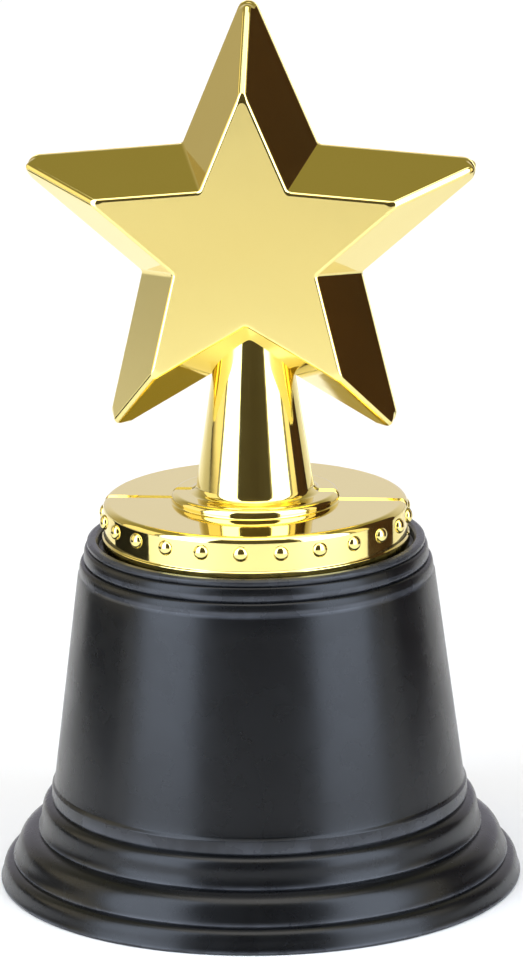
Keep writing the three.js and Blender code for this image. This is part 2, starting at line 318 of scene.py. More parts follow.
def finished(piece, name, material, slot, *replaced, flats=()):
    """Brings a piece to metres, gives it its normals and finish, and ties it to the frame."""
    piece.name = piece.data.name = name
    work = bmesh.new()
    work.from_mesh(piece.data)
    bmesh.ops.remove_doubles(work, verts=work.verts, dist=2e-4)
    bmesh.ops.dissolve_degenerate(work, edges=work.edges, dist=1e-4)
    work.to_mesh(piece.data)
    work.free()
    piece.data.transform(Matrix.Scale(MM, 4))
    shade(piece.data, flats)
    piece.data.materials.clear()
    piece.data.materials.append(material)
    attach(piece, "root")
    if replaced:
        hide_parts(*replaced)
    return piece


# ---------------------------------------------------------------- materials

def wire(tree, node, links):
    """Links a node's inputs, given as {input: output socket}."""
    for key, socket in links.items():
        tree.links.new(socket, node.inputs[key])


def add(tree, kind, settings=None, inputs=None, links=None):
    """Adds one node with its settings, its input values and its links, given as {input: output socket}."""
    node = tree.nodes.new(kind)
    for key, value in (settings or {}).items():
        setattr(node, key, value)
    for key, value in (inputs or {}).items():
        node.inputs[key].default_value = value
    wire(tree, node, links or {})
    return node


def empty_tree(holder):
    """Turns on the nodes of a material or world and clears them."""
    holder.use_nodes = True
    holder.node_tree.nodes.clear()
    return holder.node_tree


def start_material(name):
    """A material's tree with its Object coordinates and its shader."""
    material = bpy.data.materials.new(name)
    tree = empty_tree(material)
    place = add(tree, "ShaderNodeTexCoord").outputs["Object"]
    shader = add(tree, "ShaderNodeBsdfPrincipled")
    add(tree, "ShaderNodeOutputMaterial", links={"Surface": shader.outputs["BSDF"]})
    return material, tree, place, shader


def per_metre(spacing):
    """Texture scale that repeats about once in this many millimetres."""
    return 1 / (spacing * MM)


def metallised_gold():
    """Vacuum-metallised gold on moulded ABS under clear lacquer: a near mirror with a faint orange peel,
    slow waves where the plastic sank in the mould, and light handling smudges that dull it in patches."""
    look = bpy.context.scene.trophy_finishes
    material, tree, place, shader = start_material("vacuum_metallised_gold_abs")
    film = add(tree, "ShaderNodeTexNoise", inputs={"Scale": per_metre(14), "Detail": 3},
               links={"Vector": place})
    tint = add(tree, "ShaderNodeMix", {"data_type": "RGBA"},
               {"A": (*look.gold, 1), "B": (*look.gold_deep, 1)}, {"Factor": film.outputs["Fac"]})
    smudge = add(tree, "ShaderNodeTexNoise", inputs={"Scale": per_metre(6), "Detail": 6, "Roughness": 0.6},
                 links={"Vector": place})
    dull = add(tree, "ShaderNodeMapRange",
               inputs={"From Min": 0.45, "From Max": 0.8, "To Min": 0.055, "To Max": 0.12},
               links={"Value": smudge.outputs["Fac"]})
    sink = add(tree, "ShaderNodeTexNoise", inputs={"Scale": per_metre(9), "Detail": 1},
               links={"Vector": place})
    waves = add(tree, "ShaderNodeBump", inputs={"Strength": 1, "Distance": 0.018 * MM},
                links={"Height": sink.outputs["Fac"]})
    peel = add(tree, "ShaderNodeTexNoise", inputs={"Scale": per_metre(0.9), "Detail": 2},
               links={"Vector": place})
    skin = add(tree, "ShaderNodeBump", inputs={"Strength": 1, "Distance": 0.0012 * MM},
               links={"Height": peel.outputs["Fac"], "Normal": waves.outputs["Normal"]})
    wire(tree, shader, {"Base Color": tint.outputs["Result"], "Roughness": dull.outputs["Result"],
                        "Normal": skin.outputs["Normal"]})
    shader.inputs["Metallic"].default_value = 1
    return material


def satin_black_abs():
    """Injection-moulded ABS from a fine spark-eroded mould: satin, with a faint mottle, and slightly paler on
    the lips of the foot and rim, where the paler black is partly wear and partly a painted highlight for the
    lines they catch."""
    look = bpy.context.scene.trophy_finishes
    material, tree, place, shader = start_material("satin_black_moulded_abs")
    lip_mask = add(tree, "ShaderNodeAttribute", {"attribute_name": "lip"})
    mottle = add(tree, "ShaderNodeTexNoise", inputs={"Scale": per_metre(5), "Detail": 5},
                 links={"Vector": place})
    patchy = add(tree, "ShaderNodeMapRange", inputs={"From Min": 0.35, "From Max": 0.7, "To Min": 0.35},
                 links={"Value": mottle.outputs["Fac"]})
    # Paler black on the lips, in patches: partly wear, partly a painted highlight.
    wear_and_highlight = add(tree, "ShaderNodeMath", {"operation": "MULTIPLY"},
               links={0: lip_mask.outputs["Fac"], 1: patchy.outputs["Result"]})
    tint = add(tree, "ShaderNodeMix", {"data_type": "RGBA"},
               {"A": (*look.black, 1), "B": (*look.black_wear_and_highlight, 1)}, {"Factor": wear_and_highlight.outputs["Value"]})
    satin = add(tree, "ShaderNodeMapRange",
                inputs={"From Min": 0.3, "From Max": 0.7, "To Min": 0.24, "To Max": 0.31},
                links={"Value": mottle.outputs["Fac"]})
    grain = add(tree, "ShaderNodeTexNoise", inputs={"Scale": per_metre(0.35), "Detail": 2},
                links={"Vector": place})
    bump = add(tree, "ShaderNodeBump", inputs={"Strength": 1, "Distance": 0.004 * MM},
               links={"Height": grain.outputs["Fac"]})
    wire(tree, shader, {"Base Color": tint.outputs["Result"], "Roughness": satin.outputs["Result"],
                        "Normal": bump.outputs["Normal"]})
    shader.inputs["IOR"].default_value = 1.53
    shader.inputs["Specular IOR Level"].default_value = 0.33
    return material


def matt_black_cover():
    """Matt black polystyrene sheet with a fine pressed grain, which scatters light evenly."""
    look = bpy.context.scene.trophy_finishes
    material, tree, place, shader = start_material("matt_black_styrene_sheet")
    cells = add(tree, "ShaderNodeTexVoronoi", inputs={"Scale": per_metre(0.6)}, links={"Vector": place})
    # The grain cells go toward the paler black: the sheet's own tone, no highlight.
    tint = add(tree, "ShaderNodeMix", {"data_type": "RGBA"},
               {"A": (*look.black, 1), "B": (*look.black_wear_and_highlight, 1)}, {"Factor": cells.outputs["Distance"]})
    bump = add(tree, "ShaderNodeBump", inputs={"Strength": 1, "Distance": 0.02 * MM},
               links={"Height": cells.outputs["Distance"]})
    wire(tree, shader, {"Base Color": tint.outputs["Result"], "Normal": bump.outputs["Normal"]})
    shader.inputs["Roughness"].default_value = 0.62
    return material


def plated_steel(name, tone, lines, dullest):
    """Steel with the fine lines of rolling or turning and slightly clouded plating."""
    material, tree, place, shader = start_material(name)
    stretched = add(tree, "ShaderNodeMapping", inputs={"Scale": (1, 1, 12)}, links={"Vector": place})
    line = add(tree, "ShaderNodeTexNoise", inputs={"Scale": per_metre(lines), "Detail": 4},
               links={"Vector": stretched.outputs["Vector"]})
    cloud = add(tree, "ShaderNodeTexNoise", inputs={"Scale": per_metre(4), "Detail": 3},
                links={"Vector": place})
    tint = add(tree, "ShaderNodeMix", {"data_type": "RGBA"},
               {"A": (*tone, 1), "B": tuple(0.7 * c for c in tone) + (1,)}, {"Factor": cloud.outputs["Fac"]})
    rough = add(tree, "ShaderNodeMapRange", inputs={"To Min": 0.2, "To Max": dullest},
                links={"Value": line.outputs["Fac"]})
    bump = add(tree, "ShaderNodeBump", inputs={"Strength": 1, "Distance": 0.002 * MM},
               links={"Height": line.outputs["Fac"]})
    wire(tree, shader, {"Base Color": tint.outputs["Result"], "Roughness": rough.outputs["Result"],
                        "Normal": bump.outputs["Normal"]})
    shader.inputs["Metallic"].default_value = 1
    return material


# ---------------------------------------------------------------- the gold topper

def mm(value):
    return value / MM


def point_half_angle(sizes):
    inner = sizes.notch_share
    return math.atan2(inner * math.sin(SECTOR), 1 - inner * math.cos(SECTOR))


def star_edge(sizes):
    """Centre of the star to each straight side."""
    return mm(sizes.star_radius) * math.sin(point_half_angle(sizes))


def star_height(sizes):
    """Height of the star's centre, from the top of the topper and the rounding of the point."""
    cut = mm(sizes.point_round) * (1 / math.sin(point_half_angle(sizes)) - 1)
    return mm(TOPPER_TOP) - HEADROOM - mm(sizes.star_radius) + cut


def star_ring(sizes, edge, nose, notch, y, stout=1.0, nose_steps=12, notch_steps=6, side_steps=4):
    """One level of the star. nose is the (half-width, reach) of the oval at each point, notch the fillet.

    stout widens the ovals of every point but the top one.
    """
    half = point_half_angle(sizes)
    lean = math.pi / 2 - half - SECTOR
    across, along = nose
    steep = across / along / math.tan(half)
    tangent = steep / math.hypot(1, steep)
    nose_end = math.asin(tangent)
    notch_centre = (edge + notch) / math.cos(lean)
    line = []
    for arm in range(ARMS):
        axis = math.pi / 2 + 2 * SECTOR * arm
        wide, long = (across * stout, along * stout) if arm else (across, along)
        nose_centre = (edge - wide * tangent * math.cos(half)) / math.sin(half) - long * math.cos(nose_end)
        for k in range(nose_steps + 1):
            turn = nose_end * (2 * k / nose_steps - 1)
            line.append((axis, wide * math.sin(turn), nose_centre + long * math.cos(turn), k == nose_steps))
        for k in range(notch_steps + 1):
            turn = lean * (2 * k / notch_steps - 1)
            line.append((axis + SECTOR, notch * math.sin(turn), notch_centre - notch * math.cos(turn),
                         k == notch_steps))
    flat = []
    for axis, aside, out, end in line:
        flat.append((out * math.cos(axis) - aside * math.sin(axis),
                     out * math.sin(axis) + aside * math.cos(axis), end))
    centre = star_height(sizes)
    ring = []
    for i, (x, z, end) in enumerate(flat):
        ring.append((x, y, centre + z))
        if end:
            to_x, to_z, _ = flat[(i + 1) % len(flat)]
            for k in range(1, side_steps):
                part = k / side_steps
                ring.append((x + (to_x - x) * part, y, centre + z + (to_z - z) * part))
    return ring


def star_half(sizes):
    """Front half of the star as a solid, from its face to the eased edge at the parting plane."""
    edge = star_edge(sizes)
    depth, land = mm(sizes.star_depth), mm(sizes.land)
    face_edge = edge * sizes.face_share
    land_round, long_slope, bevel_levels = 0.8, 3, 16
    line = eased([
        (face_edge - 1, -depth, 0),
        (face_edge, -depth, mm(sizes.face_round)),
        (edge, -land, land_round),
        (edge, -PARTING, mm(sizes.parting_round)),
        (edge - 0.4, -PARTING, 0),
    ], math.radians(9))
    levels = []
    for (e, y), (e2, y2) in zip(line, line[1:]):
        levels.append((e, y))
        if y2 - y > long_slope:
            for k in range(1, bevel_levels):
                part = 1 - (1 - k / bevel_levels) ** 2
                levels.append((e + (e2 - e) * part, y + (y2 - y) * part))
    levels.append(line[-1])
    # The ridge's round is a cylinder that leans back, so its section at each level is an oval.
    ridge = mm(sizes.ridge_round)
    lean = math.atan2(mm(sizes.star_radius) * (1 - sizes.face_share), depth - land)
    point = mm(sizes.point_round)
    tip = mm(sizes.tip_length)
    rings = []
    for e, y in levels:
        near = max(0.0, 1 - (-y - land) / tip) if -y > land else 1.0
        blend = near * near * (3 - 2 * near)
        nose = (ridge + (point - ridge) * blend, ridge / math.cos(lean) * (1 - blend) + point * blend)
        stout = 1 + (sizes.lower_stout - 1) * blend
        rings.append(star_ring(sizes, e, nose, mm(sizes.notch_round), y, stout))
    return loft("star_half", rings)


def star_hollow(sizes):
    """The hollow of the front half, one wall inside its face and bevels."""
    edge = star_edge(sizes)
    nose, notch = (0.4, 0.5), 1.2
    depth, land = mm(sizes.star_depth), mm(sizes.land)
    lean = math.atan2(edge * (1 - sizes.face_share), depth - land)
    inset = WALL / math.cos(lean)
    deep = depth - WALL
    floor_edge = edge * (1 - (1 - sizes.face_share) * (deep - land) / (depth - land)) - inset
    levels = [(floor_edge, -deep), (edge - inset, -land), (edge - inset, 1)]
    return loft("star_hollow", [star_ring(sizes, e, nose, notch, y) for e, y in levels])


def stem_radius(sizes, height):
    foot = mm(sizes.collar_top) + mm(sizes.flange_height)
    return mm(sizes.stem_foot) - sizes.stem_taper * (height - foot)


def half_turned(name, outline, sizes, steps=96):
    """Front half of a turned solid, its two long edges eased at the parting plane."""
    seam_top = mm(sizes.collar_top) + mm(sizes.flange_height) + 0.6
    edge_steps = 4
    rings = []
    for radius, height in outline:
        ease = mm(sizes.seam_round if height < seam_top else sizes.parting_round)
        out = math.sqrt((radius - ease) ** 2 - (PARTING + ease) ** 2)
        corner = math.atan2(-(PARTING + ease), out)
        edge, wall = [], []
        for k in range(edge_steps):
            turn = math.pi / 2 + (corner - math.pi / 2) * k / edge_steps
            edge.append((out + ease * math.cos(turn), -PARTING - ease + ease * math.sin(turn), height))
        for k in range(steps + 1):
            turn = corner + (-math.pi - 2 * corner) * k / steps
            wall.append((radius * math.cos(turn), radius * math.sin(turn), height))
        rings.append(edge + wall + [(-x, y, z) for x, y, z in reversed(edge)])
    return loft(name, rings)


def topper_outline(sizes):
    """Outside of the stem, flange and collar from inside the star down to the seat."""
    top, radius = mm(sizes.collar_top), mm(sizes.collar_radius)
    flange = top + mm(sizes.flange_height)
    bottom, proud, lip = mm(TOPPER_FOOT), 0.2, 1.7
    return eased([
        (stem_radius(sizes, STEM_END), STEM_END, 0),
        (stem_radius(sizes, flange), flange, 1.1),
        (mm(sizes.flange_radius), flange, mm(sizes.flange_round)),
        (mm(sizes.flange_radius), top, 0.2),
        (radius, top, 0.9),
        (radius, bottom + lip, 0.12),
        (radius + proud, bottom + lip - proud, 0.15),
        (radius + proud, bottom, 0.3),
        (radius - 1.2, bottom, 0),
    ], math.radians(8))


def dome_tree(material):
    """Node tree that sets equal domes round a ring."""
    tree = bpy.data.node_groups.new("Ring of domes", "GeometryNodeTree")
    for label, kind in (("Domes", "NodeSocketInt"), ("Ring radius", "NodeSocketFloat"),
                        ("Ring height", "NodeSocketFloat"), ("Dome radius", "NodeSocketFloat"),
                        ("Dome fullness", "NodeSocketFloat")):
        tree.interface.new_socket(label, in_out="INPUT", socket_type=kind)
    tree.interface.new_socket("Geometry", in_out="OUTPUT", socket_type="NodeSocketGeometry")
    given = add(tree, "NodeGroupInput").outputs
    ring = add(tree, "GeometryNodeMeshCircle",
               links={"Vertices": given["Domes"], "Radius": given["Ring radius"]})
    ball = add(tree, "GeometryNodeMeshUVSphere", inputs={"Segments": 24, "Rings": 14},
               links={"Radius": given["Dome radius"]})
    squash = add(tree, "ShaderNodeCombineXYZ", inputs={"X": 1, "Y": 1}, links={"Z": given["Dome fullness"]})
    stud = add(tree, "GeometryNodeTransform",
               links={"Geometry": ball.outputs["Mesh"], "Scale": squash.outputs["Vector"]})
    outwards = add(tree, "GeometryNodeInputPosition")
    turn = add(tree, "FunctionNodeAlignRotationToVector", {"axis": "Z"}, links={"Vector": outwards.outputs[0]})
    studs = add(tree, "GeometryNodeInstanceOnPoints",
                links={"Points": ring.outputs["Mesh"], "Instance": stud.outputs["Geometry"],
                       "Rotation": turn.outputs["Rotation"]})
    lift = add(tree, "ShaderNodeCombineXYZ", links={"Z": given["Ring height"]})
    raised = add(tree, "GeometryNodeTransform",
                 links={"Geometry": studs.outputs["Instances"], "Translation": lift.outputs["Vector"]})
    real = add(tree, "GeometryNodeRealizeInstances", links={"Geometry": raised.outputs["Geometry"]})
    painted = add(tree, "GeometryNodeSetMaterial", inputs={"Material": material},
                  links={"Geometry": real.outputs["Geometry"]})
    add(tree, "NodeGroupOutput", links={"Geometry": painted.outputs["Geometry"]})
    return tree


def ring_of_domes(sizes, material):
    """The domes round the collar as one mesh of closed studs, made with a Geometry Nodes tree."""
    holder = linked("domes", bpy.data.meshes.new("domes"))
    modifier = holder.modifiers.new("Ring of domes", "NODES")
    tree = dome_tree(material)
    modifier.node_group = tree
    values = {"Domes": sizes.domes, "Ring radius": mm(sizes.collar_radius),
              "Ring height": mm(sizes.dome_height), "Dome radius": mm(sizes.dome_radius),
              "Dome fullness": sizes.dome_share}
    for item in tree.interface.items_tree:
        if item.name in values:
            modifier[item.identifier] = values[item.name]
    bpy.context.view_layer.update()
    mesh = bpy.data.meshes.new_from_object(holder.evaluated_get(bpy.context.evaluated_depsgraph_get()))
    holder.modifiers.clear()
    holder.data = mesh
    return holder


def front_space():
    """Everything in front of the parting plane."""
    wide, high = 60, 130
    corners = [(x, y, z) for x in (-wide, wide) for y in (-wide, -PARTING) for z in (0, high)]
    sides = [(0, 1, 3, 2), (4, 6, 7, 5), (0, 4, 5, 1), (2, 3, 7, 6), (0, 2, 6, 4), (1, 5, 7, 3)]
    return new_object("front_space", corners, sides)


def cross_pin(radius, start, end, distance, angle, centre, steps=32):
    """A cylinder along Y on an arm of the star."""
    x, z = distance * math.cos(angle), centre + distance * math.sin(angle)
    rings = []
    outline = eased([(radius - 0.5, start, 0), (radius, start, 0.2), (radius, end, 0.25),
                     (radius - 0.5, end, 0)])
    for r, y in outline:
        rings.append([(x + across, y, z + up) for across, up, _ in level_ring(r, 0, steps)])
    return loft("pin", rings)


def hexagon(across, bottom, top):
    return loft("hexagon", [level_ring(across / math.sqrt(3), z, 6) for z in (bottom, top)])


def flat_directions(sizes):
    """Directions of the topper's flat faces: the star's faces and bevels, the parting plane, level faces."""
    half = point_half_angle(sizes)
    lean = math.atan2(star_edge(sizes) * (1 - sizes.face_share), mm(sizes.star_depth) - mm(sizes.land))
    found = [(0, -1, 0), (0, 1, 0), *LEVEL]
    for arm in range(ARMS):
        for side in (-1, 1):
            out = math.pi / 2 + 2 * SECTOR * arm + side * (math.pi / 2 - half)
            for front in (-1, 1):
                found.append((math.cos(lean) * math.cos(out), front * math.sin(lean),
                              math.cos(lean) * math.sin(out)))
                found.append((math.cos(out), 0, math.sin(out)))
    return found


def topper_half(sizes, material):
    """Outside of the front half with its hollows, boss, nut pocket and screw hole, but no locating pins."""
    collar, top = mm(sizes.collar_radius), mm(sizes.collar_top)
    flange, flange_top = mm(sizes.flange_radius), top + mm(sizes.flange_height)
    boss, boss_top, bolt_end = 6.2, 59, 57
    nut_bottom, nut_top, nut_across = 50.5, 53.7, 7
    below = mm(TOPPER_FOOT) - 1
    stem_end, centre = stem_radius(sizes, STEM_END) - WALL, star_height(sizes)
    stem = [(0, boss_top), (stem_radius(sizes, boss_top) - WALL, boss_top), (stem_end, STEM_END),
            (stem_end, centre), (0, centre)]
    drum = eased([(boss, below, 0), (collar - WALL, below, 0), (collar - WALL, top - WALL, 0.6),
                  (boss, top - WALL, 0.6), (boss, below, 0)])[:-1]
    screw = [(0, below), (HOLE, below), (HOLE, bolt_end + GAP), (0, bolt_end + GAP)]
    piece = combine(star_half(sizes), [half_turned("stem", topper_outline(sizes), sizes)], "UNION")
    domes = combine(ring_of_domes(sizes, material), [front_space()], "INTERSECT")
    piece = combine(piece, [domes], "UNION")
    cuts = [
        star_hollow(sizes),
        turned("stem_hollow", stem, 64),
        turned("drum_hollow", drum, 96),
        turned("screw_hole", screw, 48),
        hexagon(nut_across + 2 * GAP, nut_bottom - GAP, nut_top + GAP),
    ]
    for inner, outer, level in ((flange - 0.3, collar + 1, top),
                                (mm(sizes.stem_foot) + 0.6, flange + 1, flange_top)):
        cuts += [seam_groove(inner, outer, level), seam_groove(-outer, -inner, level)]
    return combine(piece, cuts, "DIFFERENCE")


def seam_groove(inner, outer, top):
    """Wedge that opens the parting line of a level top between two distances from the axis."""
    wide, deep, over = 0.5, 0.45, 0.3
    rise = over * deep / wide
    section = [(-PARTING - wide - over, top + rise), (-PARTING + over, top + rise),
               (-PARTING + over, top - deep - rise)]
    return loft("groove", [[(x, y, z) for y, z in section] for x in (inner, outer)])


def mirrored(piece, name):
    """The same solid behind the parting plane."""
    work = bmesh.new()
    work.from_mesh(piece.data)
    for vertex in work.verts:
        vertex.co.y = -vertex.co.y
    bmesh.ops.reverse_faces(work, faces=work.faces)
    mesh = bpy.data.meshes.new(name)
    work.to_mesh(mesh)
    work.free()
    return linked(name, mesh)


class TROPHY_OT_topper(bpy.types.Operator):
    """Builds the two metallised halves of the star, stem and collar"""
    bl_idname = "trophy.topper"
    bl_label = "Star topper halves"

    def execute(self, context):
        sizes = context.scene.trophy_topper
        gold = metallised_gold()
        front = topper_half(sizes, gold)
        back = mirrored(front, "back")
        centre = star_height(sizes)
        inside = mm(sizes.star_depth) - WALL / 2
        post, pin, reach, circle = 2.2, 1, 2.6, 11.5
        for arm in (0, 2, 3):
            angle = math.pi / 2 + 2 * SECTOR * arm
            front = combine(front, [cross_pin(post, -inside, -PARTING, circle, angle, centre)], "UNION")
            front = combine(front, [cross_pin(pin, -inside, reach, circle, angle, centre)], "UNION")
            back = combine(back, [cross_pin(post, PARTING, inside, circle, angle, centre)], "UNION")
            back = combine(back, [cross_pin(pin + GAP, -1, reach + GAP, circle, angle, centre)], "DIFFERENCE")
        flats = flat_directions(sizes)
        finished(front, "star_topper_front_half", gold, "gold_topper", "star_front_shell", flats=flats)
        finished(back, "star_topper_back_half", gold, "gold_topper", "star_back_shell", flats=flats)
        return {"FINISHED"}


# ---------------------------------------------------------------- the black base

def curve(points, steps):
    """Points along a Bezier curve, without its last one."""
    made = []
    for k in range(steps):
        part, level = k / steps, [Vector(p) for p in points]
        while len(level) > 1:
            level = [a.lerp(b, part) for a, b in zip(level, level[1:])]
        made.append(tuple(level[0]))
    return made


def bell_outline(sizes):
    """Outside of the bell from the foot up to the rim, as (radius, height, lip), lip 1 on the lips: the share
    of paler black, for wear and a painted highlight.
    """
    foot, rim = mm(FOOT_RADIUS), mm(RIM_TOP)
    tiers = [(foot, 0.4, 0.3, 0.1), *UPPER_TIERS]
    drop, nose, side_steps = 0.35, 0.12, 12
    outline = [(foot - FOOT_EASE, 0, 0), (foot - 0.06, 0.12, 0.6)]
    for i, (radius, height, flare, shoulder) in enumerate(tiers):
        above = tiers[i + 1][:2] if i + 1 < len(tiers) else COVE
        width = radius - above[0] + 0.08
        rise = above[1] - drop - height
        # Each tier's lip gets paler black: wear and a painted highlight on its bright edge.
        outline.append((radius, height - nose / 2, 1))
        side = curve([(radius, height), (radius - flare * width, height + 0.4 * rise),
                      (radius - shoulder * width, height + 0.94 * rise),
                      (radius - width, above[1] - drop)], 20)
        outline += [(r, z, 1 if k == 0 else 0.25 if k == 1 else 0) for k, (r, z) in enumerate(side)]
        outline.append((radius - width, above[1] - drop, 0))
        outline.append((above[0] - 0.06, above[1] - nose - 0.06, 0.4))
    outline += [(COVE[0], COVE[1] - nose / 2, 1), (COVE[0], COVE[1] + nose / 2, 1)]
    body_foot, body_top = mm(sizes.body_foot), mm(sizes.body_top)
    # a rounded band, then a small hollow fillet into the straight side
    band = eased([(COVE[0], COVE[1] + nose / 2, 0), (COVE[0] - 0.08, 13.35, 0.25),
                  (body_foot + 0.1, 13.75, 0.5), (body_foot - 0.05, BAND_TOP, 0)])
    # Paler black on the lower part of the band: wear and a painted highlight.
    outline += [(r, z, 0.3 if z < 13.6 else 0) for r, z in band[1:-1]]
    side_foot = body_foot - 0.09
    for k in range(side_steps + 1):
        part = k / side_steps
        outline.append((side_foot + (body_top - side_foot) * part, BAND_TOP + (SIDE_TOP - BAND_TOP) * part, 0))
    for (radius, height), above in zip(RIM_LIPS, RIM_LIPS[1:]):
        # Each rim lip gets paler black too: wear and a painted highlight.
        outline.append((radius, height - nose, 1))
        crease = (above[0] - 0.14, above[1] - 0.45)
        step = curve([(radius, height + 0.02), (radius - 0.06, crease[1] - 0.2),
                      (radius - 0.25, crease[1] + 0.02), crease], 12)
        outline += [(r, z, 0.8 if k < 2 else 0) for k, (r, z) in enumerate(step)]
        outline.append((*crease, 0))
        outline.append((above[0] - 0.05, above[1] - nose - 0.12, 0.5))
    inner = mm(sizes.rim_inner)
    top = eased([(22.8, 47, 0), (22.75, 47.35, 0.2), (22.35, rim, 0.25), (inner + 0.35, rim, 0.25),
                 (inner, rim - 0.35, 0.2), (inner, rim - 0.6, 0)])
    # The rim's top is paler: wear and a painted highlight.
    outline += [(r, z, 0.6) for r, z in top]
    return outline


def bell_inside(sizes):
    """Inside of the bell from the recess down through the screw hole to the rebate for the cover."""
    deck, under = mm(sizes.deck_top), mm(sizes.deck_top) - mm(sizes.deck_thick)
    wall, rebate, ledge = mm(sizes.wall), mm(sizes.cover_radius) + GAP, 1.5
    low_tier, high_tier = UPPER_TIERS
    return eased([
        (mm(sizes.rim_inner), mm(RIM_TOP) - 0.6, 0),
        (mm(sizes.rim_inner), deck, 0.2),
        (HOLE, deck, 0.15),
        (HOLE, under, 0.15),
        (mm(sizes.body_top) - wall, under, 0.6),
        (mm(sizes.body_foot) - wall, 14.2, 0.8),
        (COVE[0] - wall, COVE[1] - 1, 0.8),
        (high_tier[0] - wall, high_tier[1] - 1, 0.8),
        (low_tier[0] - wall, ledge, 0.3),
        (rebate, ledge, 0.15),
        (rebate, 0, 0.15),
        (mm(FOOT_RADIUS) - FOOT_EASE, 0, 0),
    ])[1:-1]


class TROPHY_OT_base(bpy.types.Operator):
    """Builds the stepped bell of the base"""
    bl_idname = "trophy.base"
    bl_label = "Bell base"

    def execute(self, context):
        sizes = context.scene.trophy_base
        outside = bell_outline(sizes)
        inside = bell_inside(sizes)
        bell = turned("bell", [(r, z) for r, z, _ in outside] + inside, 224)
        # Each vertex takes its share of paler black from the outline: wear and a painted highlight on the lips.
        wear_and_highlight_at = {(round(r, 3), round(z, 3)): lip for r, z, lip in outside}
        attribute = bell.data.attributes.new("lip", "FLOAT", "POINT")
        for i, vertex in enumerate(bell.data.vertices):
            key = (round(math.hypot(vertex.co.x, vertex.co.y), 3), round(vertex.co.z, 3))
            attribute.data[i].value = wear_and_highlight_at.get(key, 0)
        finished(bell, "bell_base", satin_black_abs(), "black_base", "base_bell", flats=LEVEL)
        return {"FINISHED"}


class TROPHY_OT_cover(bpy.types.Operator):
    """Builds the closing cover of the foot"""
    bl_idname = "trophy.cover"
    bl_label = "Bottom cover"

    def execute(self, context):
        radius = mm(context.scene.trophy_base.cover_radius)
        thick, ring = 1.2, 1.5
        cover = turned("cover", eased([
            (0, 0, 0), (radius, 0, 0.25), (radius, thick, 0.2), (24, thick, 0.2), (23.4, thick + ring, 0.3),
            (22.6, thick + ring, 0.3), (22, thick, 0.2), (0, thick, 0),
        ]), 192)
        finished(cover, "foot_cover", matt_black_cover(), "black_cover", "bottom_cover", flats=LEVEL)
        return {"FINISHED"}


# ---------------------------------------------------------------- fixing and ballast

def node_box(node):
    """Lowest and highest corner of a CAD node in millimetres."""
    low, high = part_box(node)
    return low / MM, high / MM


def threaded_screw():
    """Pan head machine screw with its coarse thread, head down."""
    low, high = node_box("fixing_bolt")
    head_radius, head_height, crest, root, pitch = high.x, 2.6, 1.95, 1.62, 0.7
    head_top = low.z + head_height
    steps, turns = 40, 8
    shank = head_top + 0.8
    point = high.z - 0.6
    head = eased([(0.3, low.z, 0), (0.7 * head_radius, low.z, 0.8), (head_radius, low.z + 0.9, 0.6),
                  (head_radius, head_top, 0.15), (root, head_top, 0.15), (root, shank, 0)])
    rings = [level_ring(r, z, steps) for r, z in head]
    levels = round((point - shank) / pitch * turns)
    for level in range(1, levels + 1):
        z = shank + (point - shank) * level / levels
        fade = min(1, (z - shank) / pitch, (point - z) / pitch + 0.15)
        ring = []
        for k in range(steps):
            wave = (z / pitch - k / steps) % 1
            r = root + (crest - root) * fade * (1 - abs(2 * wave - 1))
            ring.append((r * math.cos(2 * math.pi * k / steps), r * math.sin(2 * math.pi * k / steps), z))
        rings.append(ring)
    end = ((root - 0.1, point + 0.2), (root - 0.5, high.z), (0.3, high.z))
    rings += [level_ring(r, z, steps) for r, z in end]
    screw = loft("screw", rings)
    recess = []
    for turn in (0, math.pi / 2):
        blade = []
        for z, reach, width in ((low.z - 0.2, 2.3, 0.46), (low.z + 1.3, 1.5, 0.3)):
            blade.append([(x * math.cos(turn) - y * math.sin(turn), x * math.sin(turn) + y * math.cos(turn), z)
                          for x, y in ((reach, -width), (reach, width), (-reach, width), (-reach, -width))])
        recess.append(loft("blade", blade))
    return combine(screw, recess, "DIFFERENCE")


def chamfered_nut():
    """Hexagon nut with its corners turned down on both faces and a plain bored hole."""
    low, high = node_box("captive_nut")
    corner, slope, sink = high.x, 0.45, HOLE + 1.4
    nut = hexagon(corner * math.sqrt(3), low.z, high.z)
    barrel = turned("barrel", [(0, low.z - 1), (corner - 3 * slope, low.z - 1), (corner - slope, low.z),
                               (corner + 0.1, low.z + slope), (corner + 0.1, high.z - slope),
                               (corner - slope, high.z), (corner - 3 * slope, high.z + 1), (0, high.z + 1)], 96)
    nut = combine(nut, [barrel], "INTERSECT")
    hole = turned("hole", [(0, low.z - 1), (sink, low.z - 1), (HOLE, low.z + 0.4), (HOLE, high.z - 0.4),
                           (sink, high.z + 1), (0, high.z + 1)], 48)
    return combine(nut, [hole], "DIFFERENCE")


def punched_ring(node, ease, steps):
    """A flat ring with eased edges, the size of its CAD node."""
    low, high = node_box(node)
    return turned(node, eased([
        (HOLE, low.z, 0), (high.x, low.z, ease), (high.x, high.z, ease), (HOLE, high.z, ease),
        (HOLE, low.z + 0.05, 0),
    ]), steps)


